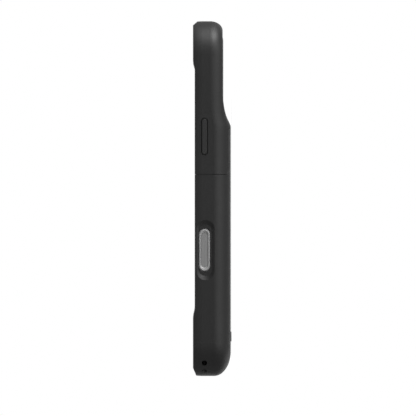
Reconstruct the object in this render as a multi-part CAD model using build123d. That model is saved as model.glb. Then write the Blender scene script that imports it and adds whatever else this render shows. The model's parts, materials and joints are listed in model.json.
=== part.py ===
# Battery charging case for a phone: a battery base with a top cap that slides off.
# Millimetres. X is the width, with the power-button side at +X, Y runs to the top end
# and Z to the screen side. The case lies on its back on the plane Z = 0.
import os

from build123d import *

# How far a cutter stands out of what it cuts
cut_over = 1.0

# Phone that the case is made for
phone_width = 71.5
phone_length = 149.6
phone_thickness = 8.25
phone_corner = 13.0
phone_fit = 0.15

# Walls round the phone
side_wall = 2.2
top_wall = 2.4
chin_height = 13.17
corner_radius = 15.5
screen_depth = 1.22
screen_fit = 0.1
lip_overlap = 0.9
front_round = 0.7
front_tilt = 0.5
wall_crown = 0.45
crown_depth = 4.2

# Front edge: raised corner lips, lower lips along the sides
side_lip_drop = 0.8
lower_lip_height = 26.5
lower_lip_run = 6.6
upper_lip_drop = 18.1
upper_lip_run = 5.2
top_bevel_depth = 2.2
top_bevel_height = 2.0
bottom_bevel_depth = 1.6
bottom_bevel_height = 3.9

# Layers behind the phone
liner_thickness = 0.6
liner_margin = 2.4
liner_plug_gap = 1.0
tray_thickness = 1.0
tray_rim = 2.1
tray_ledge = 1.3
tray_fit = 0.15
cell_swell = 0.3
cell_thickness = 4.52
tape_thickness = 0.25
back_wall = 1.4

# Back: deep battery hump below, thin cap above, quarter-ellipse edges
edge_rise = 7.8
edge_inset = 11.5
cap_back = 3.68
thin_edge_rise = 5.7
thin_edge_inset = 4.4
wall_step = 0.46
shoulder_clear = 11.27
shoulder_length = 19.3
shoulder_start_pull = 2.8
shoulder_end_pull = 16.1
shoulder_sections = 9

# Parting of the cap and the base
parting_clear = 4.0
seam_gap = 0.2
seam_lip_height = 1.2
seam_lip_thickness = 0.8
seam_inset = 5.1
shoulder_margin = 1.0
seam_curl = 2.0
rail_behind = 2.73
rail_width = 1.0
rail_reach = 0.9

# Camera window in the cap
window_side = 19.25
window_drop = 20.15
window_size = 26.4
window_corner = 8.0
rim_width = 2.2
rim_proud = 0.27
rim_bevel = 1.4

# Hollow ribs inside the cap
cap_wall = 1.6
rib = 1.4
pocket_columns = 3
pocket_rows = 3

# Buttons in the side walls
volume_down_drop = 60.0
volume_pitch = 13.5
volume_length = 10.0
action_pitch = 13.5
action_length = 6.4
power_rise = 8.7
power_length = 16.5
button_width = 2.3
button_gap = 0.5
button_travel = 0.3
flange_reach = 0.7
flange_thickness = 0.45
flange_space = 0.1
face_drop = 0.05
face_round = 0.2

# Touch button in its dished recess
touch_rise = 45.45
touch_length = 19.6
touch_width = 5.1
touch_rim = 0.75
touch_groove = 0.1
touch_gap = 0.2
touch_travel = 0.2
touch_proud = 0.2
plate_thickness = 0.45
dish_drop = 0.3
dish_end_run = 1.1
dish_side_run = 0.3
recess_length = 28.0
recess_width = 8.6
recess_offset = 0.5
recess_depth = 0.9
recess_floor_length = 24.0
recess_floor_width = 6.3
recess_floor_offset = 0.4
touch_flange_thickness = 0.35
touch_flange_reach = 0.6

# Lanyard holes at the lower corner
lanyard_radius = 1.22
lanyard_height = 6.15
lanyard_inset = 7.42

# Chin: charge port, phone plug and sound slots
port_width = 8.94
port_thickness = 3.2
port_metal = 0.3
port_length = 7.4
port_inset = 0.5
port_fit = 0.18
port_chamfer = 0.4
port_rear = 1.2
port_tongue_width = 6.6
port_tongue_thickness = 0.7
port_tongue_drop = 0.9
chin_bay_half = 10.0
chin_bay_bottom = 3.2
chin_bay_front = 3.0
plug_width = 8.25
plug_thickness = 2.4
plug_reach = 6.5
plug_metal = 0.3
plug_step = 0.5
plug_body_length = 1.4
contact_width = 5.6
contact_thickness = 0.3
contact_drop = 1.0
carrier_thickness = 2.5
part_fit = 0.1
flex_thickness = 0.15
flex_width = 8.0
flex_lap = 2.0
slot_count = 5
slot_pitch = 2.8
slot_width = 1.5
slot_length = 3.8
slot_drop = 3.1
slot_x = 20.0
slot_wall = 2.0
mesh_thickness = 0.3

# Boards and their parts
bay_step = 1.8
board_gap = 0.7
board_side_gap = 2.6
board_length = 18.0
board_thickness = 0.8
board_corner = 1.5
component_height = 1.33
boss_inset = 2.8
boss_radius = 2.2
screw_radius = 0.8
screw_head_radius = 1.5
screw_head_height = 0.7
screw_socket_radius = 0.5
screw_socket_depth = 0.4
screw_length = 2.8
screw_fit = 0.05
can_inset = 8.0
can_width = 15.0
can_length = 12.0
can_sheet = 0.2
coil_inset = 14.5
coil_size = 6.5
coil_corner = 0.8

# Battery cell and its strip board
cell_gap = 5.3
cell_end_gap = 1.6
cell_side_gap = 1.1
cell_round = 1.2
terrace_length = 3.4
terrace_thickness = 1.0
terrace_inset = 2.0
tape_width = 12.0
tape_margin = 4.0
strip_half = 14.0
strip_margin = 0.2
tab_x = 9.0
tab_width = 4.0

# Status button, switch and charge lights
status_rise = 2.55
status_radius = 2.28
status_proud = 0.33
status_round = 0.1
status_travel = 0.2
status_flange = 0.7
status_gap = 0.25
switch_length = 3.6
switch_width = 3.0
switch_corner = 0.3
plunger_radius = 0.8
plunger_length = 0.45
led_rise = 6.1
led_pitch = 3.0
led_count = 4
led_length = 1.6
led_width = 0.8
led_thickness = 0.6
led_space = 0.2
led_pin_radius = 0.6
guide_width = 1.8

# Overall sizes and depths
case_width = phone_width + 2 * (phone_fit + side_wall)
half_width = case_width / 2
inner_half = half_width - side_wall
cavity_length = phone_length + 2 * phone_fit
case_length = chin_height + cavity_length + top_wall
phone_bottom = chin_height + phone_fit
phone_top = phone_bottom + phone_length
phone_mid = screen_depth + phone_thickness / 2
cavity_front = screen_depth - screen_fit
cavity_back = screen_depth + phone_thickness + screen_fit
floor_depth = cavity_back + liner_thickness
bay_front = floor_depth + tray_thickness
bay_back = bay_front + cell_swell + cell_thickness + tape_thickness
case_depth = bay_back + back_wall
thin_depth = floor_depth + cap_back
wall_depth = thin_depth - thin_edge_rise - wall_step
front_z = status_proud + case_depth

# Heights of the buttons, the window and the parting
volume_down_height = phone_top - volume_down_drop
volume_up_height = volume_down_height + volume_pitch
action_height = volume_up_height + action_pitch
power_height = volume_down_height + power_rise
touch_height = phone_bottom + touch_rise
window_x = phone_width / 2 - window_side
window_height = phone_top - window_drop
window_rim = window_size + 2 * rim_width
shoulder_start = window_height - window_rim / 2 - shoulder_clear
tongue_half = half_width - seam_inset
tongue_height = shoulder_start - shoulder_margin
parting_height = volume_down_height - volume_length / 2 - parting_clear
rail_depth = floor_depth + rail_behind
lanyard_x = half_width - lanyard_inset
slot_height = chin_height - slot_drop

# Places inside the battery bay
tray_half = tongue_half - tray_rim
bay_half = tray_half - tray_ledge
bay_bottom = chin_height + bay_step
bay_top = tongue_height - back_wall
board_half = bay_half - board_side_gap
board_bottom = bay_bottom + board_gap
board_top = board_bottom + board_length
board_middle = board_bottom + board_length / 2
board_depth = bay_front + component_height + part_fit
board_back = board_depth + board_thickness
cell_half = bay_half - cell_side_gap
cell_bottom = board_top + cell_gap
cell_top = bay_top - cell_end_gap
status_height = board_bottom + status_rise
led_height = status_height + led_rise


def along(height):
    """Y of a point at this height above the bottom end."""
    return height - case_length / 2


def depth(behind):
    """Z of a point this far behind the plane of the corner lips."""
    return front_z - behind


def block(x_low, x_high, low, high, front, back):
    """Box between two widths, two heights and two depths."""
    centre = Pos((x_low + x_high) / 2, along((low + high) / 2), depth((front + back) / 2))
    return centre * Box(x_high - x_low, high - low, back - front)


def slab(sketch, front, back):
    """Flat sketch in X and Y made solid between two depths."""
    return extrude(Pos(0, 0, depth(back)) * sketch, amount=back - front)


def side_stadium(side, x_low, x_high, height, behind, length, width):
    """Stadium with its length along Y, standing between two distances from the middle plane."""
    plane = Plane((side * x_low, along(height), depth(behind)), x_dir=(0, 1, 0), z_dir=(side, 0, 0))
    return extrude(plane * SlotOverall(length, width), amount=x_high - x_low)


def end_stadium(low, high, behind, width, thickness):
    """Stadium with its length along X, standing between two heights."""
    plane = Plane((0, along(low), depth(behind)), x_dir=(1, 0, 0), z_dir=(0, 1, 0))
    return extrude(plane * SlotOverall(width, thickness), amount=high - low)


def post(x, height, radius, front, back):
    """Round post along Z between two depths."""
    return slab(Pos(x, along(height)) * Circle(radius), front, back)


def plan(inset=0.0):
    """Outline of the case seen from the front, moved in by an inset."""
    return RectangleRounded(case_width - 2 * inset, case_length - 2 * inset, corner_radius - inset)


def round_outline(profile, height_z):
    """Profile drawn at the top end, carried round the outline of the case."""
    end_y = case_length / 2
    path = Pos(0, 0, height_z) * FilletPolyline(
        (0, end_y), (half_width, end_y), (half_width, -end_y), (0, -end_y), radius=corner_radius
    )
    half = sweep(Plane.YZ * profile, path=path)
    return half + mirror(half, Plane.YZ)


def edge_ring(back, rise, inset):
    """Quarter-ellipse edge round the back."""
    bend_z = depth(back - rise)
    end_y = case_length / 2
    arc = EllipticalCenterArc((end_y - inset, bend_z), inset, rise, 270, arc_size=90)
    legs = Polyline((end_y, bend_z), (end_y - inset, bend_z), (end_y - inset, bend_z - rise))
    return round_outline(make_face(arc + legs), bend_z)


def crowned_ring():
    """Straight side wall that leans in towards the front as one shallow arc."""
    back_z = depth(wall_depth)
    bend_z = depth(crown_depth)
    end_y = case_length / 2
    inner_y = end_y - edge_inset
    arc = TangentArc((end_y, bend_z), (end_y - wall_crown, depth(0)), tangent=(0, 1))
    legs = Polyline(
        (end_y - wall_crown, depth(0)), (inner_y, depth(0)), (inner_y, back_z), (end_y, back_z), (end_y, bend_z)
    )
    return round_outline(make_face(arc + legs), back_z)


def pillow_back(back, rise, inset):
    """Back of the case behind the straight walls, with its rounded edge."""
    straight = slab(plan(), wall_depth, back - rise)
    core = slab(plan(inset), back - rise, back)
    return straight + core + edge_ring(back, rise, inset)


def side_lips():
    """Material in front of the lower lips along both sides."""
    lip_z = depth(side_lip_drop)
    top_z = depth(0)
    lower = (along(lower_lip_height), along(lower_lip_height + lower_lip_run))
    upper_end = case_length - upper_lip_drop
    upper = (along(upper_end - upper_lip_run), along(upper_end))
    lower_mid = (lower[0] + lower[1]) / 2
    upper_mid = (upper[0] + upper[1]) / 2
    fall = Bezier((lower[0], top_z), (lower_mid, top_z), (lower_mid, lip_z), (lower[1], lip_z))
    climb = Bezier((upper[0], lip_z), (upper_mid, lip_z), (upper_mid, top_z), (upper[1], top_z))
    low_run = Line((lower[1], lip_z), (upper[0], lip_z))
    high_run = Line((upper[1], top_z), (lower[0], top_z))
    face = make_face(fall + low_run + climb + high_run)
    return extrude(Plane.YZ * face, amount=case_width, both=True)


def front_walls():
    """Crowned outer walls of the whole case with lowered side lips and a small round at the front."""
    walls = slab(plan(edge_inset), 0, wall_depth) + crowned_ring() - side_lips()
    front = walls.faces().filter_by(lambda face: face.normal_at().Z > front_tilt)
    edges = [edge for face in front for edge in face.edges()]
    outline = [edge for edge in edges if sum(edge.is_same(other) for other in edges) == 1]
    return fillet(outline, front_round)


def shoulder_section(height, back, rise, inset):
    """Cross-section of the back at one height."""
    front = depth(wall_depth)
    bend = depth(back - rise)
    flat = half_width - inset
    right = EllipticalCenterArc((flat, bend), inset, rise, 270, arc_size=90)
    left = EllipticalCenterArc((-flat, bend), inset, rise, 180, arc_size=90)
    base = Line((-flat, bend - rise), (flat, bend - rise))
    rest = Polyline((half_width, bend), (half_width, front), (-half_width, front), (-half_width, bend))
    return Plane.XZ.offset(-along(height)) * make_face(left + base + right + rest)


def shoulder():
    """Loft from the deep section to the thin one along an S-shaped curve."""
    curve = Bezier(
        (shoulder_start, 0),
        (shoulder_start + shoulder_start_pull, 0),
        (shoulder_start + shoulder_length - shoulder_end_pull, 1),
        (shoulder_start + shoulder_length, 1),
    )
    sections = []
    for index in range(shoulder_sections):
        point = curve @ (index / (shoulder_sections - 1))
        share = point.Y
        back = case_depth + share * (thin_depth - case_depth)
        rise = edge_rise + share * (thin_edge_rise - edge_rise)
        inset = edge_inset + share * (thin_edge_inset - edge_inset)
        sections.append(shoulder_section(point.X, back, rise, inset))
    return loft(sections)


def end_bevels():
    """Material in front of the bevels at both ends."""
    end = case_length / 2
    top_z = depth(0)
    top = Polyline((end - top_bevel_height, top_z), (end, top_z), (end, depth(top_bevel_depth)), close=True)
    bottom = Polyline(
        (bottom_bevel_height - end, top_z), (-end, top_z), (-end, depth(bottom_bevel_depth)), close=True
    )
    faces = [Plane.YZ * make_face(outline) for outline in (top, bottom)]
    return Part() + [extrude(face, amount=case_width, both=True) for face in faces]


def phone_cavity():
    """Room for the phone, with the opening between the lips."""
    place = Pos(0, along(chin_height + cavity_length / 2))
    radius = phone_corner + phone_fit
    room = RectangleRounded(2 * inner_half, cavity_length, radius)
    mouth_width = 2 * (inner_half - lip_overlap)
    mouth = RectangleRounded(mouth_width, cavity_length - 2 * lip_overlap, radius - lip_overlap)
    return slab(place * room, cavity_front, floor_depth) + slab(place * mouth, -front_round, cavity_front)


def base_zone(grow=0.0):
    """Share of the outline that belongs to the base, seen from the back, with the tongue."""
    below = Pos(0, along(parting_height / 2)) * Rectangle(2 * case_width, parting_height)
    tongue = Pos(0, along(tongue_height / 2)) * Rectangle(2 * tongue_half, tongue_height)
    zone = below + tongue
    corners = zone.vertices().filter_by(
        lambda v: abs(v.Y - along(parting_height)) < seam_gap and abs(v.X) < half_width
    )
    zone = fillet(corners, seam_curl)
    return offset(zone, grow) if grow else zone


def seam_lip(side, inner, grow):
    """Thin lip of the base that stands inside the cap's side wall, moved out by a gap."""
    left, right = sorted((side * inner, side * (inner_half + seam_lip_thickness + grow)))
    low = parting_height - seam_lip_height
    high = parting_height + seam_lip_height + 2 * grow
    return block(left, right, low, high, side_lip_drop + front_round - grow, cavity_back + grow)


def button_well(side, height, length, width):
    """Hole for a side button and the pocket for its flange."""
    reach = 2 * (flange_reach + button_gap)
    hole = side_stadium(
        side, inner_half - cut_over, half_width + cut_over, height, phone_mid,
        length + 2 * button_gap, width + 2 * button_gap,
    )
    pocket_top = inner_half + button_travel + flange_thickness + 2 * flange_space
    pocket = side_stadium(
        side, inner_half - cut_over, pocket_top, height, phone_mid,
        length + reach + button_gap, width + reach + button_gap,
    )
    return hole + pocket


def side_button(side, height, length, width):
    """Sliding button with a rounded face and a flange behind the wall."""
    low = inner_half + button_travel + flange_space
    reach = 2 * (flange_reach + button_gap)
    stem = side_stadium(side, low, half_width - face_drop, height, phone_mid, length, width)
    face = stem.faces().sort_by(Axis.X)[-1 if side > 0 else 0]
    stem = fillet(face.edges(), face_round)
    flange = side_stadium(
        side, low, low + flange_thickness, height, phone_mid, length + reach, width + reach
    )
    return stem + flange


def side_plane(x, behind):
    """Plane across the power-button side at the touch button's height."""
    return Plane((x, along(touch_height), depth(behind)), x_dir=(0, 1, 0), z_dir=(1, 0, 0))


def recess_outline(rise):
    """Outline of the dished recess at one height above its floor."""
    share = rise / recess_depth
    length = recess_floor_length + share * (recess_length - recess_floor_length)
    width = recess_floor_width + share * (recess_width - recess_floor_width)
    behind = phone_mid + recess_floor_offset + share * (recess_offset - recess_floor_offset)
    return side_plane(half_width - recess_depth + rise, behind) * SlotOverall(length, width)


def touch_recess():
    """Dished recess with a flat floor, the touch button's hole in it and the flange pocket behind."""
    inside = inner_half - cut_over
    dish = loft([recess_outline(0), recess_outline(recess_depth + cut_over)])
    hole_length = touch_length + 2 * touch_gap
    hole_width = touch_width + 2 * touch_gap
    hole = side_stadium(1, inside, half_width, touch_height, phone_mid, hole_length, hole_width)
    pocket_top = inner_half + touch_travel + touch_flange_thickness + 2 * flange_space
    reach = 2 * (touch_flange_reach + touch_gap)
    pocket = side_stadium(
        1, inside, pocket_top, touch_height, phone_mid, hole_length + reach, hole_width + reach
    )
    return dish + hole + pocket


def plate_outline(grow):
    """Outline of the touch plate, moved out by a small gap."""
    length = touch_length - 2 * (touch_rim + dish_end_run - grow)
    width = touch_width - 2 * (touch_rim + dish_side_run - grow)
    return SlotOverall(length, width)


def touch_button_frame():
    """Stadium frame that slides in the recess, with a rim that slopes down to the plate."""
    low = inner_half + touch_travel + flange_space
    top = half_width - recess_depth + touch_proud
    reach = 2 * touch_flange_reach
    frame = side_stadium(1, low, top, touch_height, phone_mid, touch_length, touch_width)
    frame = chamfer(frame.faces().sort_by(Axis.X)[-1].edges(), touch_rim / 3)
    flange = side_stadium(
        1, low, low + touch_flange_thickness, touch_height, phone_mid, touch_length + reach, touch_width + reach
    )
    crest = side_plane(top, phone_mid) * SlotOverall(touch_length - 2 * touch_rim, touch_width - 2 * touch_rim)
    foot = side_plane(top - dish_drop, phone_mid) * plate_outline(touch_groove)
    return frame + flange - loft([foot, crest]) - extrude(foot, amount=-plate_thickness)


def touch_button_plate():
    """Flat touch surface seated in the frame."""
    top = half_width - recess_depth + touch_proud - dish_drop
    return extrude(side_plane(top, phone_mid) * plate_outline(0), amount=-plate_thickness)


def lanyard_holes():
    """Side hole and end hole that meet inside the corner."""
    side = Plane((lanyard_x, along(lanyard_height), depth(phone_mid)), z_dir=(1, 0, 0))
    end = Plane((lanyard_x, along(lanyard_height), depth(phone_mid)), z_dir=(0, -1, 0))
    across = extrude(side * Circle(lanyard_radius), amount=side_wall + lanyard_height)
    down = extrude(end * Circle(lanyard_radius), amount=lanyard_height)
    elbow = Pos(lanyard_x, along(lanyard_height), depth(phone_mid)) * Sphere(lanyard_radius)
    return across + down + elbow


def sound_slots(side):
    """Row of sound slots in the chin's front with the duct from the phone's end behind them."""
    duct_half = (slot_count - 1) * slot_pitch / 2 + slot_width
    middle = side * slot_x
    duct = block(
        middle - duct_half, middle + duct_half, slot_height - slot_length / 2, chin_height + cut_over,
        slot_wall, phone_mid + slot_wall,
    )
    slots = [
        Pos(middle + step.position.X, along(slot_height)) * Rot(0, 0, 90) * SlotOverall(slot_length, slot_width)
        for step in GridLocations(slot_pitch, 1, slot_count, 1).locations
    ]
    return duct + slab(Sketch() + slots, -cut_over, slot_wall)


def port_mouth():
    """Hole for the charging socket with a chamfered mouth in the chin's end."""
    width = port_width + 2 * port_fit
    thickness = port_thickness + 2 * port_fit
    hole = end_stadium(-cut_over, chin_bay_bottom, phone_mid, width, thickness)
    plane = Plane((0, along(0), depth(phone_mid)), x_dir=(1, 0, 0), z_dir=(0, 1, 0))
    wide = SlotOverall(width + 2 * port_chamfer, thickness + 2 * port_chamfer)
    return hole + extrude(plane * wide, amount=port_chamfer, taper=45)


def boss_places():
    """Width and height of each board boss."""
    boss_x = board_half - boss_inset
    low = board_bottom + boss_inset
    high = board_top - boss_inset
    return [(x, height) for x in (-boss_x, boss_x) for height in (low, high)]


def board_bosses():
    """Bosses on the back wall that carry the main board."""
    return Part() + [post(x, height, boss_radius, board_back, bay_back) for x, height in boss_places()]


def boss_holes():
    """Screw holes in the bosses and the board."""
    radius = screw_radius + screw_fit
    hole_back = board_depth + screw_length + screw_fit
    return Part() + [post(x, height, radius, board_depth, hole_back) for x, height in boss_places()]


def led_places():
    """Places of the charge lights in a row across the back."""
    return [Pos(0, along(led_height)) * place for place in GridLocations(led_pitch, 1, led_count, 1).locations]


def base_shell(body, cavity):
    """Battery base: hump, chin, side walls up to the parting and the tongue behind the cap."""
    zone = base_zone()
    walls = block(-case_width, case_width, 0, parting_height, 0, case_depth)
    tongue = slab(zone, floor_depth, case_depth)
    shell = body & (walls + tongue)
    shell -= cavity
    shell -= block(-bay_half, bay_half, bay_bottom, bay_top, bay_front, bay_back)
    shell -= block(
        -tray_half - tray_fit, tray_half + tray_fit, chin_height, bay_top + tray_fit,
        floor_depth - cut_over, bay_front,
    )
    shell -= block(
        -chin_bay_half, chin_bay_half, chin_bay_bottom, bay_bottom + cut_over, chin_bay_front, board_back
    )
    shell -= port_mouth()
    for side in (-1, 1):
        shell += seam_lip(side, inner_half, 0)
        shell -= sound_slots(side)
        groove_low = side * (tongue_half - rail_reach)
        groove_high = side * (tongue_half + cut_over)
        shell -= block(
            min(groove_low, groove_high), max(groove_low, groove_high), parting_height + seam_curl,
            tongue_height + cut_over, rail_depth - seam_gap, rail_depth + rail_width + seam_gap,
        )
    shell += board_bosses()
    shell -= boss_holes()
    shell -= post(0, status_height, status_radius + status_gap, bay_back - cut_over, case_depth + cut_over)
    for place in led_places():
        shell -= slab(place * Circle(led_pin_radius + screw_fit), bay_back - cut_over, case_depth + cut_over)
    shell -= touch_recess()
    shell -= lanyard_holes()
    return shell


def camera_window():
    """Opening for the phone's cameras."""
    return Pos(window_x, along(window_height)) * RectangleRounded(window_size, window_size, window_corner)


def camera_rim():
    """Raised rim round the camera window with a long bevel outside."""
    outer = Pos(window_x, along(window_height)) * RectangleRounded(
        window_rim, window_rim, window_corner + rim_width
    )
    rim = slab(outer, thin_depth - cap_wall, thin_depth + rim_proud)
    return chamfer(rim.faces().sort_by(Axis.Z)[0].edges(), rim_proud, rim_bevel)


def rib_grid(left, right, low, high, columns, rows):
    """Hollows left free between crossing ribs."""
    column = (right - left + rib) / columns
    row = (high - low + rib) / rows
    hollows = []
    for column_index in range(columns):
        for row_index in range(rows):
            x = left + column_index * column
            y = low + row_index * row
            hollow = block(x, x + column - rib, y, y + row - rib, floor_depth - cut_over, thin_depth - cap_wall)
            hollows.append(hollow)
    return Part() + hollows


def cap_pockets():
    """Hollows on the inner side of the cap's back, beside and below the camera window."""
    low = tongue_height + 3 * seam_gap + rib
    high = case_length - top_wall - thin_edge_inset - rib
    below_window = window_height - window_rim / 2 - rib
    edge = inner_half - thin_edge_inset
    beside_window = window_x - window_rim / 2 - rib
    beside = rib_grid(-edge, beside_window, low, high, pocket_columns, pocket_rows)
    return beside + rib_grid(beside_window + rib, edge, low, below_window, pocket_columns, 1)


def top_cap(body, cavity):
    """Cap over the phone's upper half, with arms on both sides of the base's tongue."""
    cap = body - block(
        -case_width, case_width, -cut_over, parting_height + seam_gap, -cut_over, case_depth + cut_over
    )
    cap += camera_rim()
    cap -= slab(base_zone(seam_gap), cavity_back, case_depth + cut_over)
    cap -= cavity
    cap -= slab(camera_window(), 0, case_depth + cut_over)
    cap -= cap_pockets()
    for side in (-1, 1):
        cap -= seam_lip(side, inner_half - cut_over, seam_gap)
        inner = side * (tongue_half - rail_reach + seam_gap)
        outer = side * (tongue_half + 2 * seam_gap)
        cap += block(
            min(inner, outer), max(inner, outer), parting_height + seam_curl + 2 * seam_gap,
            tongue_height - seam_gap, rail_depth, rail_depth + rail_width,
        )
    cap -= button_well(1, power_height, power_length, button_width)
    cap -= button_well(-1, action_height, action_length, button_width)
    cap -= button_well(-1, volume_up_height, volume_length, button_width)
    cap -= button_well(-1, volume_down_height, volume_length, button_width)
    return cap


def inner_tray():
    """Plate that closes the battery bay behind the phone."""
    return block(-tray_half, tray_half, chin_height + tray_fit, bay_top, floor_depth, bay_front)


def base_liner():
    """Soft sheet that the phone's back lies on, over the tray and the tongue."""
    low = chin_height + plug_reach + liner_plug_gap
    half = inner_half - liner_margin
    top = parting_height - seam_gap
    wide = Pos(0, along((low + top) / 2)) * Rectangle(2 * half, top - low)
    neck_half = tongue_half - seam_gap
    neck_top = tongue_height - seam_gap
    neck = Pos(0, along((low + neck_top) / 2)) * Rectangle(2 * neck_half, neck_top - low)
    return slab(wide + neck, cavity_back, floor_depth)


def cap_liner():
    """Soft sheet inside the cap's back, round the camera window."""
    low = tongue_height + 2 * seam_gap
    high = case_length - top_wall - liner_margin
    half = inner_half - liner_margin
    radius = phone_corner - liner_margin
    sheet = Pos(0, along((low + high) / 2)) * RectangleRounded(2 * half, high - low, radius)
    return slab(sheet - camera_window(), cavity_back, floor_depth)


def status_button():
    """Round button in the back with a flange inside the wall."""
    flange_back = bay_back - flange_space
    flange_front = flange_back - flange_thickness
    head = post(0, status_height, status_radius, flange_front, case_depth + status_proud)
    head = fillet(head.faces().sort_by(Axis.Z)[0].edges(), status_round)
    return head + post(0, status_height, status_radius + status_flange, flange_front, flange_back)


def tact_switch():
    """Small switch on the main board behind the status button."""
    plunger_back = bay_back - flange_space - flange_thickness - status_travel - flange_space
    body_back = plunger_back - plunger_length
    outline = RectangleRounded(switch_length, switch_width, switch_corner)
    body = slab(Pos(0, along(status_height)) * outline, board_back, body_back)
    return body + post(0, status_height, plunger_radius, body_back, plunger_back)


def light_guide():
    """Clear bar with one pin through the back for each charge light."""
    half = led_count * led_pitch / 2
    front = board_back + led_thickness + led_space
    bar = block(-half, half, led_height - guide_width / 2, led_height + guide_width / 2, front, bay_back)
    for place in led_places():
        bar += slab(place * Circle(led_pin_radius), bay_back, case_depth - face_drop)
    return bar


def charge_leds():
    """Light chips on the back of the main board."""
    chip = Rectangle(led_length, led_width)
    return Compound([slab(place * chip, board_back, board_back + led_thickness) for place in led_places()])


def main_board():
    """Charging board on the bosses."""
    sheet = RectangleRounded(2 * board_half, board_top - board_bottom, board_corner)
    return slab(Pos(0, along(board_middle)) * sheet, board_depth, board_back) - boss_holes()


def board_screws():
    """Screws that hold the board to the bosses."""
    screws = []
    for x, height in boss_places():
        head_front = board_depth - screw_head_height
        head = post(x, height, screw_head_radius, head_front, board_depth)
        socket = post(x, height, screw_socket_radius, head_front, head_front + screw_socket_depth)
        shank = post(x, height, screw_radius, board_depth, board_depth + screw_length)
        screws.append(head - socket + shank)
    return Compound(screws)


def shield_can():
    """Folded metal lid over the converter chips."""
    front = bay_front + part_fit
    low = board_middle - can_length / 2
    high = board_middle + can_length / 2
    left = can_inset - board_half
    right = left + can_width
    outer = block(left, right, low, high, front, board_depth)
    inner = block(
        left + can_sheet, right - can_sheet, low + can_sheet, high - can_sheet, front + can_sheet, board_depth
    )
    return fillet(outer.edges().filter_by(Axis.Z), 2 * can_sheet) - inner


def boost_inductor():
    """Square coil of the voltage converter with cut corners."""
    right = board_half - coil_inset
    low = board_middle - coil_size / 2
    coil = block(right - coil_size, right, low, low + coil_size, bay_front + part_fit, board_depth)
    return chamfer(coil.edges().filter_by(Axis.Z), coil_corner)


def battery_cell():
    """Flat pouch cell with the thin sealed edge at its lower end."""
    cell_front = bay_front + cell_swell
    body = block(-cell_half, cell_half, cell_bottom, cell_top, cell_front, bay_back - tape_thickness)
    body = fillet(body.edges().filter_by(Axis.Y), cell_round)
    half = cell_half - terrace_inset
    terrace = block(
        -half, half, cell_bottom - terrace_length, cell_bottom, board_back, board_back + terrace_thickness
    )
    return body + terrace


def battery_tape():
    """Two adhesive strips that hold the cell to the back wall."""
    low = cell_bottom + tape_margin
    high = cell_top - tape_margin
    strips = []
    for side in (-1, 1):
        left = side * cell_half / 2 - tape_width / 2
        strips.append(block(left, left + tape_width, low, high, bay_back - tape_thickness, bay_back))
    return Compound(strips)


def protection_board():
    """Strip board on the cell's sealed edge."""
    low = cell_bottom - terrace_length + strip_margin
    high = cell_bottom - strip_margin
    return block(-strip_half, strip_half, low, high, board_depth, board_back)


def cell_tabs():
    """Two metal tabs welded to the protection board."""
    low = cell_bottom - terrace_length + 2 * strip_margin
    high = cell_bottom - 2 * strip_margin
    tabs = []
    for side in (-1, 1):
        left = side * tab_x - tab_width / 2
        tabs.append(block(left, left + tab_width, low, high, board_depth - flex_thickness, board_depth))
    return Compound(tabs)


def battery_flex():
    """Flat lead from the protection board to the main board."""
    half = flex_width / 2
    low = board_top - flex_lap
    high = cell_bottom - 2 * strip_margin
    return block(-half, half, low, high, board_depth - flex_thickness, board_depth)


def charge_port():
    """Metal shell of the charging socket in the chin."""
    low = port_inset
    high = port_inset + port_length
    shell = end_stadium(low, high, phone_mid, port_width, port_thickness)
    hollow = end_stadium(low, high, phone_mid, port_width - 2 * port_metal, port_thickness - 2 * port_metal)
    return shell - hollow


def port_tongue():
    """Insulating tongue and rear block inside the charging socket."""
    high = port_inset + port_length
    width = port_width - 2 * port_metal
    rear = end_stadium(high - port_rear, high, phone_mid, width, port_thickness - 2 * port_metal)
    half = port_tongue_width / 2
    front = phone_mid - port_tongue_thickness / 2
    tongue = block(
        -half, half, port_inset + port_tongue_drop, high, front, front + port_tongue_thickness
    )
    return rear + tongue


def port_board():
    """Small board that carries the charging socket."""
    front = phone_mid + port_thickness / 2
    half = chin_bay_half - tray_fit
    high = port_inset + port_length
    return block(-half, half, chin_bay_bottom + tray_fit, high, front, front + board_thickness)


def plug_carrier():
    """Block that closes the chin's bay and holds the phone plug."""
    half = chin_bay_half - tray_fit
    carrier = block(
        -half, half, chin_height - carrier_thickness, chin_height,
        chin_bay_front + part_fit, floor_depth - part_fit,
    )
    hole = end_stadium(
        chin_height - carrier_thickness, chin_height, phone_mid, plug_width + 2 * part_fit,
        plug_thickness + 2 * part_fit,
    )
    return carrier - hole


def phone_plug():
    """Plug that enters the phone's socket, open at its tip."""
    low = chin_height - carrier_thickness
    tip = chin_height + plug_reach
    stem = end_stadium(low, tip, phone_mid, plug_width, plug_thickness)
    stem = fillet(stem.faces().sort_by(Axis.Y)[-1].edges(), plug_metal / 2)
    hollow = end_stadium(
        chin_height, tip, phone_mid, plug_width - 2 * plug_metal, plug_thickness - 2 * plug_metal
    )
    half = plug_width / 2 + plug_step
    reach = plug_thickness / 2 + plug_step
    body = block(-half, half, low - plug_body_length, low, phone_mid - reach, phone_mid + reach)
    return stem - hollow + body


def plug_contacts():
    """Two rows of contacts along the walls inside the plug."""
    half = contact_width / 2
    tip = chin_height + plug_reach - contact_drop
    reach = plug_thickness / 2 - plug_metal
    rows = []
    for side in (-1, 1):
        edges = sorted((phone_mid + side * reach, phone_mid + side * (reach - contact_thickness)))
        rows.append(block(-half, half, chin_height, tip, edges[0], edges[1]))
    return Compound(rows)


def plug_flex():
    """Flat lead from the plug round the tray's end to the main board."""
    low = chin_height - carrier_thickness - plug_body_length - flex_thickness
    half = flex_width / 2
    across = block(-half, half, low, low + flex_thickness, phone_mid - plug_thickness / 2, board_depth)
    rise = block(-half, half, low, board_bottom + flex_lap, board_depth - flex_thickness, board_depth)
    return across + rise


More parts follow.
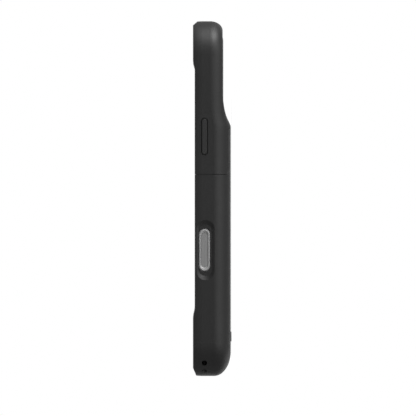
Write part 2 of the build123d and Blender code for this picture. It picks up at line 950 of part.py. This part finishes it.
def sound_meshes():
    """Fine mesh strips behind the sound slots."""
    half = (slot_count - 1) * slot_pitch / 2 + slot_width - part_fit
    strips = []
    for side in (-1, 1):
        middle = side * slot_x
        strips.append(
            block(
                middle - half, middle + half, slot_height - slot_length / 2 + part_fit,
                slot_height + slot_length / 2, slot_wall, slot_wall + mesh_thickness,
            )
        )
    return Compound(strips)


def build_parts():
    """All pieces of the case by name."""
    cavity = phone_cavity()
    walls = front_walls() - end_bevels()
    deep = pillow_back(case_depth, edge_rise, edge_inset)
    thin = pillow_back(thin_depth, thin_edge_rise, thin_edge_inset)
    deep_share = deep & block(-case_width, case_width, 0, shoulder_start, 0, case_depth)
    thin_share = thin & block(
        -case_width, case_width, shoulder_start + shoulder_length, case_length, 0, case_depth
    )
    cap_body = walls + deep_share + shoulder() + thin_share
    return {
        "base_shell": base_shell(walls + deep_share, cavity),
        "top_cap": top_cap(cap_body, cavity),
        "inner_tray": inner_tray(),
        "base_liner": base_liner(),
        "cap_liner": cap_liner(),
        "power_button": side_button(1, power_height, power_length, button_width),
        "action_button": side_button(-1, action_height, action_length, button_width),
        "volume_up_button": side_button(-1, volume_up_height, volume_length, button_width),
        "volume_down_button": side_button(-1, volume_down_height, volume_length, button_width),
        "touch_button_frame": touch_button_frame(),
        "touch_button_plate": touch_button_plate(),
        "status_button": status_button(),
        "tact_switch": tact_switch(),
        "light_guide": light_guide(),
        "charge_leds": charge_leds(),
        "main_board": main_board(),
        "board_screws": board_screws(),
        "shield_can": shield_can(),
        "boost_inductor": boost_inductor(),
        "battery_cell": battery_cell(),
        "battery_tape": battery_tape(),
        "protection_board": protection_board(),
        "cell_tabs": cell_tabs(),
        "battery_flex": battery_flex(),
        "charge_port": charge_port(),
        "port_tongue": port_tongue(),
        "port_board": port_board(),
        "plug_carrier": plug_carrier(),
        "phone_plug": phone_plug(),
        "plug_contacts": plug_contacts(),
        "plug_flex": plug_flex(),
        "sound_meshes": sound_meshes(),
    }


os.makedirs("parts", exist_ok=True)
for node, shape in build_parts().items():
    export_step(shape, f"parts/{node}.step")
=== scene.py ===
import json
import math

import bpy
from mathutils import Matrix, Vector

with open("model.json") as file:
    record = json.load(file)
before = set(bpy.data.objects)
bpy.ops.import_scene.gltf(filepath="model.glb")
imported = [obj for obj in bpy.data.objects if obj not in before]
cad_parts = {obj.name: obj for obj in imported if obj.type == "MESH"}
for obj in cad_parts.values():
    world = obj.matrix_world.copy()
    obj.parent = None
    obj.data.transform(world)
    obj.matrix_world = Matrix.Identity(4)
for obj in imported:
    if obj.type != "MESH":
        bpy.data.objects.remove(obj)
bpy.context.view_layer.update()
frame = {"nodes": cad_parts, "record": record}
nodes = frame["nodes"]

# Units of the patterns, in metres
MM = 0.001
MICRON = 0.000001

# View of the photograph: field, distance and where the camera's axis meets the case, in metres
FIELD = 0.1941
CAMERA_DISTANCE = 8.0
SENSOR_MM = 36.0
AXIS_Y = -0.00438
AXIS_Z = 0.01096
SIDE_X = 0.020

# Studio: the floor's size in metres, its colour, its glow where it is seen, and the room's light
FLOOR_SIZE = 1.2
FLOOR_COLOUR = (0.86, 0.86, 0.86, 1)
FLOOR_LIFT = 0.42
ROOM_LIGHT = 0.52
WHITE = (1, 1, 1, 1)

# Range in which most values of a noise lie
NOISE_LOW = 0.3
NOISE_HIGH = 0.7

# Scale at which a Wave texture has one turn to the metre
WAVE_TURN = math.pi / 10

# Sockets of a Mix node for colours, by number because their names repeat
MIX_FACTOR = 0
MIX_DARK = 6
MIX_LIGHT = 7
MIX_RESULT = 2


def new_finish(name):
    """Node material with nothing linked yet: gives the material, its tree and its shader."""
    material = bpy.data.materials.new(name)
    material.use_nodes = True
    tree = material.node_tree
    return material, tree, tree.nodes["Principled BSDF"]


def add(tree, kind, **settings):
    """One node with its settings."""
    node = tree.nodes.new(kind)
    for key, value in settings.items():
        setattr(node, key, value)
    return node


def place_on_piece(tree, stretch=(1, 1, 1)):
    """Object coordinates in metres, stretched for a pattern with a direction."""
    coordinates = add(tree, "ShaderNodeTexCoord")
    mapping = add(tree, "ShaderNodeMapping")
    mapping.inputs["Scale"].default_value = stretch
    tree.links.new(coordinates.outputs["Object"], mapping.inputs["Vector"])
    return mapping.outputs["Vector"]


def grain(tree, per_metre, detail=2, stretch=(1, 1, 1)):
    """Noise with this many cells to the metre, from 0 to 1."""
    noise = add(tree, "ShaderNodeTexNoise")
    noise.inputs["Scale"].default_value = per_metre
    noise.inputs["Detail"].default_value = detail
    tree.links.new(place_on_piece(tree, stretch), noise.inputs["Vector"])
    return noise.outputs["Fac"]


def cells(tree, per_metre):
    """Distance from the middles of Voronoi cells, with this many cells to the metre."""
    voronoi = add(tree, "ShaderNodeTexVoronoi")
    voronoi.inputs["Scale"].default_value = per_metre
    tree.links.new(place_on_piece(tree), voronoi.inputs["Vector"])
    return voronoi.outputs["Distance"]


def bands(tree, pitch, direction):
    """Straight bands across a direction with this pitch in metres: a wave of one turn for each pitch."""
    wave = add(tree, "ShaderNodeTexWave", bands_direction=direction)
    wave.inputs["Scale"].default_value = WAVE_TURN / pitch
    tree.links.new(place_on_piece(tree), wave.inputs["Vector"])
    return wave.outputs["Fac"]


def spread(tree, source, low, high, source_low=NOISE_LOW, source_high=NOISE_HIGH):
    """Source taken from its own range to low and high."""
    ranged = add(tree, "ShaderNodeMapRange")
    ranged.inputs["From Min"].default_value = source_low
    ranged.inputs["From Max"].default_value = source_high
    ranged.inputs["To Min"].default_value = low
    ranged.inputs["To Max"].default_value = high
    tree.links.new(source, ranged.inputs["Value"])
    return ranged.outputs["Result"]


def share(tree, source, source_low, source_high):
    """Source taken from its own range to 0 and 1."""
    return spread(tree, source, 0, 1, source_low, source_high)


def joined(tree, first, second, operation="ADD"):
    """Two sources put together as their sum, product or larger value."""
    math_node = add(tree, "ShaderNodeMath", operation=operation)
    tree.links.new(first, math_node.inputs[0])
    tree.links.new(second, math_node.inputs[1])
    return math_node.outputs["Value"]


def two_tone(tree, shader, source, dark, light):
    """Base colour that goes from dark to light with the source."""
    mix = add(tree, "ShaderNodeMix", data_type="RGBA")
    mix.inputs[MIX_DARK].default_value = (*dark, 1)
    mix.inputs[MIX_LIGHT].default_value = (*light, 1)
    tree.links.new(source, mix.inputs[MIX_FACTOR])
    tree.links.new(mix.outputs[MIX_RESULT], shader.inputs["Base Color"])


def uneven_gloss(tree, shader, source, low, high, source_low=NOISE_LOW, source_high=NOISE_HIGH):
    """Roughness that goes from low to high with the source."""
    tree.links.new(spread(tree, source, low, high, source_low, source_high), shader.inputs["Roughness"])


def relief(tree, shader, height, depth, strength):
    """Bump of the surface by a height source, with its depth in metres."""
    bump = add(tree, "ShaderNodeBump")
    bump.inputs["Distance"].default_value = depth
    bump.inputs["Strength"].default_value = strength
    tree.links.new(height, bump.inputs["Height"])
    tree.links.new(bump.outputs["Normal"], shader.inputs["Normal"])


def grey(level):
    """Neutral linear colour."""
    return (level, level, level)


def soft_touch_black():
    """Black soft-touch skin: clouds in its colour, fine mould grain, slightly uneven sheen."""
    material, tree, shader = new_finish("soft_touch_black")
    shader.inputs["Specular IOR Level"].default_value = 0.44
    clouds = grain(tree, per_metre=45, detail=4)
    two_tone(tree, shader, clouds, dark=grey(0.013), light=grey(0.0175))
    sheen_map = joined(tree, grain(tree, per_metre=160, detail=3), grain(tree, per_metre=2600))
    uneven_gloss(tree, shader, sheen_map, low=0.44, high=0.54, source_low=0.7, source_high=1.3)
    relief(tree, shader, grain(tree, per_metre=5200), depth=12 * MICRON, strength=0.3)
    return material


def satin_black():
    """Buttons: a smoother black with faint rub marks along their length."""
    material, tree, shader = new_finish("satin_black")
    shader.inputs["Specular IOR Level"].default_value = 0.46
    rub = grain(tree, per_metre=900, detail=3, stretch=(1, 0.12, 1))
    two_tone(tree, shader, rub, dark=grey(0.019), light=grey(0.024))
    uneven_gloss(tree, shader, rub, low=0.36, high=0.46)
    relief(tree, shader, grain(tree, per_metre=6800), depth=10 * MICRON, strength=0.25)
    return material


def moulded_inner_black():
    """Plain inner mouldings: sparked mould texture."""
    material, tree, shader = new_finish("moulded_inner_black")
    shader.inputs["Specular IOR Level"].default_value = 0.3
    two_tone(tree, shader, grain(tree, per_metre=220, detail=3), dark=grey(0.011), light=grey(0.017))
    uneven_gloss(tree, shader, grain(tree, per_metre=1800), low=0.52, high=0.66)
    relief(tree, shader, cells(tree, per_metre=3200), depth=30 * MICRON, strength=0.5)
    return material


def napped_lining():
    """Lining behind the phone: short lying fibres over a soft pile."""
    material, tree, shader = new_finish("napped_lining")
    shader.inputs["Roughness"].default_value = 0.95
    shader.inputs["Specular IOR Level"].default_value = 0.1
    shader.inputs["Sheen Weight"].default_value = 0.35
    shader.inputs["Sheen Roughness"].default_value = 0.45
    fibres = grain(tree, per_metre=3400, detail=3, stretch=(1, 0.18, 1))
    pile = grain(tree, per_metre=70, detail=3)
    nap = share(tree, joined(tree, fibres, pile), source_low=0.75, source_high=1.25)
    two_tone(tree, shader, nap, dark=grey(0.018), light=grey(0.042))
    strands = grain(tree, per_metre=4200, detail=3, stretch=(1, 0.25, 1))
    relief(tree, shader, strands, depth=80 * MICRON, strength=0.7)
    return material


def blasted_metal():
    """Rim of the touch button: fine-blasted grey metal."""
    material, tree, shader = new_finish("blasted_metal")
    shader.inputs["Metallic"].default_value = 1.0
    two_tone(tree, shader, grain(tree, per_metre=700, detail=3), dark=grey(0.48), light=grey(0.54))
    uneven_gloss(tree, shader, grain(tree, per_metre=2200), low=0.66, high=0.74)
    relief(tree, shader, grain(tree, per_metre=7600), depth=8 * MICRON, strength=0.35)
    return material


def satin_grey():
    """Touch plate: satin grey with faint rub marks along its length."""
    material, tree, shader = new_finish("satin_grey")
    shader.inputs["Specular IOR Level"].default_value = 0.35
    rub = grain(tree, per_metre=1100, detail=3, stretch=(1, 0.1, 1))
    two_tone(tree, shader, rub, dark=grey(0.225), light=grey(0.245))
    uneven_gloss(tree, shader, rub, low=0.34, high=0.44)
    relief(tree, shader, grain(tree, per_metre=7000), depth=6 * MICRON, strength=0.25)
    return material


def milky_clear():
    """Light guide and charge lights: clear plastic with a milky core and fine flow marks."""
    material, tree, shader = new_finish("milky_clear")
    shader.inputs["IOR"].default_value = 1.49
    shader.inputs["Transmission Weight"].default_value = 0.35
    two_tone(tree, shader, grain(tree, per_metre=900), dark=grey(0.68), light=grey(0.82))
    uneven_gloss(tree, shader, grain(tree, per_metre=2600), low=0.18, high=0.32)
    relief(tree, shader, grain(tree, per_metre=1500), depth=10 * MICRON, strength=0.2)
    return material


def solder_mask():
    """Board: green mask over tracks that run in two directions."""
    material, tree, shader = new_finish("solder_mask")
    shader.inputs["Specular IOR Level"].default_value = 0.45
    fine_tracks = bands(tree, pitch=1.1 * MM, direction="X")
    wide_tracks = bands(tree, pitch=2.9 * MM, direction="Y")
    tracks = joined(tree, fine_tracks, wide_tracks, "MAXIMUM")
    broken = joined(tree, tracks, grain(tree, per_metre=260, detail=1), "MULTIPLY")
    raised = share(tree, broken, source_low=0.42, source_high=0.5)
    two_tone(tree, shader, raised, dark=(0.006, 0.045, 0.02), light=(0.016, 0.1, 0.045))
    uneven_gloss(tree, shader, grain(tree, per_metre=800), low=0.3, high=0.42)
    relief(tree, shader, raised, depth=30 * MICRON, strength=0.6)
    return material


def drawn_steel():
    """Sheet-metal parts: fine drawing lines along the length."""
    material, tree, shader = new_finish("drawn_steel")
    shader.inputs["Metallic"].default_value = 1.0
    lines = grain(tree, per_metre=5000, detail=3, stretch=(1, 0.05, 1))
    two_tone(tree, shader, lines, dark=grey(0.48), light=grey(0.6))
    uneven_gloss(tree, shader, lines, low=0.24, high=0.38)
    relief(tree, shader, lines, depth=6 * MICRON, strength=0.4)
    return material


def woven_steel():
    """Sound mesh: round wires crossing in two directions, with painted shade in the openings between them.
    """
    material, tree, shader = new_finish("woven_steel")
    shader.inputs["Metallic"].default_value = 1.0
    wires = [bands(tree, pitch=0.16 * MM, direction=direction) for direction in ("X", "Y")]
    weave = joined(tree, *wires, "MAXIMUM")
    on_wire = share(tree, weave, source_low=0.55, source_high=0.85)
    # Painted shade: the openings between the wires are coloured near black, the wires grey.
    two_tone(tree, shader, on_wire, dark=grey(0.006), light=grey(0.2))
    uneven_gloss(tree, shader, grain(tree, per_metre=2000), low=0.35, high=0.5)
    relief(tree, shader, weave, depth=40 * MICRON, strength=0.8)
    return material


def plated_contacts():
    """Contact rows: plated pads side by side in a dark carrier."""
    material, tree, shader = new_finish("plated_contacts")
    pads = share(tree, bands(tree, pitch=0.5 * MM, direction="X"), source_low=0.4, source_high=0.55)
    two_tone(tree, shader, pads, dark=grey(0.01), light=(0.8, 0.56, 0.2))
    tree.links.new(pads, shader.inputs["Metallic"])
    uneven_gloss(tree, shader, grain(tree, per_metre=3000), low=0.2, high=0.34)
    relief(tree, shader, pads, depth=20 * MICRON, strength=0.5)
    return material


def laminate_foil():
    """Pouch cell: embossed foil with soft dents."""
    material, tree, shader = new_finish("laminate_foil")
    shader.inputs["Metallic"].default_value = 1.0
    two_tone(tree, shader, grain(tree, per_metre=60, detail=3), dark=grey(0.5), light=grey(0.6))
    uneven_gloss(tree, shader, grain(tree, per_metre=400), low=0.3, high=0.44)
    dents = joined(tree, grain(tree, per_metre=90), cells(tree, per_metre=1400))
    relief(tree, shader, dents, depth=60 * MICRON, strength=0.5)
    return material


def foam_tape():
    """Adhesive strips: pale foam with open cells, and painted shade darkening the middle of each cell."""
    material, tree, shader = new_finish("foam_tape")
    shader.inputs["Specular IOR Level"].default_value = 0.2
    foam = cells(tree, per_metre=3600)
    # Painted shade: the middle of each open cell is coloured darker than its walls.
    two_tone(tree, shader, foam, dark=grey(0.42), light=grey(0.62))
    uneven_gloss(tree, shader, grain(tree, per_metre=900), low=0.8, high=0.95)
    relief(tree, shader, foam, depth=50 * MICRON, strength=0.7)
    return material


def amber_film():
    """Flat leads: amber film over copper tracks."""
    material, tree, shader = new_finish("amber_film")
    shader.inputs["Specular IOR Level"].default_value = 0.5
    tracks = share(tree, bands(tree, pitch=0.8 * MM, direction="X"), source_low=0.45, source_high=0.6)
    two_tone(tree, shader, tracks, dark=(0.2, 0.075, 0.008), light=(0.46, 0.2, 0.03))
    uneven_gloss(tree, shader, grain(tree, per_metre=600), low=0.22, high=0.34)
    relief(tree, shader, tracks, depth=10 * MICRON, strength=0.5)
    return material


# Finish of each material slot in the record
FINISHES = {
    "soft_black": soft_touch_black(),
    "inner_black": moulded_inner_black(),
    "lining": napped_lining(),
    "button_black": satin_black(),
    "touch_rim": blasted_metal(),
    "touch_face": satin_grey(),
    "clear_guide": milky_clear(),
    "board": solder_mask(),
    "steel": drawn_steel(),
    "contacts": plated_contacts(),
    "cell_foil": laminate_foil(),
    "tape": foam_tape(),
    "flex": amber_film(),
}


def dress_nodes():
    """Gives every solid the finish of its slot, and the sound meshes their weave."""
    for part in frame["record"]["subparts"]:
        nodes[part["node"]].material_slots[0].material = FINISHES[part["material_slot"]]
    nodes["sound_meshes"].material_slots[0].material = woven_steel()


def seen_directly(tree):
    """1 for rays from the camera, from gloss and through clear pieces, 0 for the rest."""
    path = add(tree, "ShaderNodeLightPath")
    camera_or_gloss = joined(tree, path.outputs["Is Camera Ray"], path.outputs["Is Glossy Ray"], "MAXIMUM")
    return joined(tree, camera_or_gloss, path.outputs["Is Transmission Ray"], "MAXIMUM")


def seen_or_not(tree, unseen, seen):
    """Strength that is one value where a surface is seen and another where it only lights."""
    return spread(tree, seen_directly(tree), unseen, seen, source_low=0, source_high=1)


def new_object(name, data):
    """Object with this data, put into the scene."""
    thing = bpy.data.objects.new(name, data)
    bpy.context.scene.collection.objects.link(thing)
    return thing


def flat_sheet(name, middle, half_size):
    """Flat rectangle from its middle and half size in metres, which is 0 along the axis that it faces."""
    first, second = [axis for axis in range(3) if half_size[axis]]
    corners = []
    for across, along in ((-1, -1), (1, -1), (1, 1), (-1, 1)):
        corner = Vector(middle)
        corner[first] += across * half_size[first]
        corner[second] += along * half_size[second]
        corners.append(corner)
    mesh = bpy.data.meshes.new(name)
    mesh.from_pydata(corners, [], [(0, 1, 2, 3)])
    return new_object(name, mesh)


def bare_material(name):
    """Material with no shader: gives the material, its tree and the socket of its surface."""
    material, tree, shader = new_finish(name)
    tree.nodes.remove(shader)
    return material, tree, tree.nodes["Material Output"].inputs["Surface"]


def white_glow(tree):
    """Emission node that shines white."""
    glow = add(tree, "ShaderNodeEmission")
    glow.inputs["Color"].default_value = WHITE
    return glow


def pale_floor():
    """Matt pale surface with a glow where it is seen, which lifts it to the white of the room."""
    material, tree, surface = bare_material("pale_floor")
    diffuse = add(tree, "ShaderNodeBsdfDiffuse")
    diffuse.inputs["Color"].default_value = FLOOR_COLOUR
    lift = white_glow(tree)
    tree.links.new(seen_or_not(tree, unseen=0, seen=FLOOR_LIFT), lift.inputs["Strength"])
    both = add(tree, "ShaderNodeAddShader")
    tree.links.new(diffuse.outputs["BSDF"], both.inputs[0])
    tree.links.new(lift.outputs["Emission"], both.inputs[1])
    tree.links.new(both.outputs["Shader"], surface)
    return material


def card_grey(name, level):
    """Even glow of a card at its level."""
    material, tree, surface = bare_material(name)
    glow = white_glow(tree)
    glow.inputs["Strength"].default_value = level
    tree.links.new(glow.outputs["Emission"], surface)
    return material


def make_floor():
    """Floor that takes the case's shadow. Gloss doesn't see it, and lamps below it shine through."""
    half = FLOOR_SIZE / 2
    floor = flat_sheet("floor", middle=(0, 0, 0), half_size=(half, half, 0))
    floor.data.materials.append(pale_floor())
    floor.visible_glossy = False
    floor.visible_shadow = False


def make_room():
    """White room: full white where it is seen, softer where it only lights the case."""
    world = bpy.data.worlds.new("white_room")
    bpy.context.scene.world = world
    world.use_nodes = True
    tree = world.node_tree
    background = tree.nodes["Background"]
    background.inputs["Color"].default_value = WHITE
    tree.links.new(seen_or_not(tree, unseen=ROOM_LIGHT, seen=1), background.inputs["Strength"])


def make_lamp(name, power, length, width, toward, away):
    """Soft lamp with its length level, away from the origin in a direction and pointing back at it."""
    data = bpy.data.lights.new(name, "AREA")
    data.shape = "RECTANGLE"
    data.energy = power
    data.size = length
    data.size_y = width
    lamp = new_object(name, data)
    lamp.location = Vector(toward).normalized() * away
    lamp.rotation_euler = (-lamp.location).to_track_quat("-Z", "Y").to_euler()


def make_lamps():
    """Two lamps low behind the case, as in the photograph, and one over its front."""
    make_lamp("top_lamp", power=7.9, length=0.7, width=0.42, toward=(0.27, 0.91, -0.32), away=0.9)
    make_lamp("edge_strip", power=1.35, length=0.8, width=0.75, toward=(0.8, 0.14, -0.58), away=0.8)
    make_lamp("over_lamp", power=6.0, length=1.2, width=1.2, toward=(-0.45, -0.1, 0.9), away=1.1)


def make_card(name, level, middle, half_size):
    """Grey card that only gloss and clear pieces see, to shade what the case's sides mirror."""
    card = flat_sheet(name, middle, half_size)
    card.data.materials.append(card_grey(name, level))
    card.visible_camera = False
    card.visible_shadow = False
    card.visible_diffuse = False


def make_cards():
    """Cards past the lower end, in front, behind, two past the top end, and one on the camera's side."""
    make_card("lower_card", level=0.24, middle=(0.85, -0.3, 0), half_size=(1.15, 0, 0.8))
    make_card("front_card", level=0.1, middle=(0.76, 0, 0.3), half_size=(0.65, 0.6, 0))
    make_card("back_card", level=0.33, middle=(-0.235, 0.175, -0.3), half_size=(0.265, 0.325, 0))
    make_card("upper_card", level=0.03, middle=(0.75, 0.95, 0.67), half_size=(0.75, 0, 0.65))
    make_card("top_card", level=0.36, middle=(-0.35, 0.4, 0), half_size=(0.35, 0, 0.6))
    make_card("view_card", level=0.38, middle=(1.5, 0.4, -0.3), half_size=(0, 0.75, 0.9))


def make_camera():
    """Camera far out on the +X side, turned so that the top end points up."""
    data = bpy.data.cameras.new("side_view")
    data.sensor_width = SENSOR_MM
    data.lens = SENSOR_MM * CAMERA_DISTANCE / FIELD
    camera = new_object("side_view", data)
    camera.location = (SIDE_X + CAMERA_DISTANCE, AXIS_Y, AXIS_Z)
    camera.rotation_euler = (0, math.pi / 2, 0)
    bpy.context.scene.camera = camera


bpy.context.scene.view_settings.view_transform = "Standard"
dress_nodes()
make_floor()
make_room()
make_lamps()
make_cards()
make_camera()
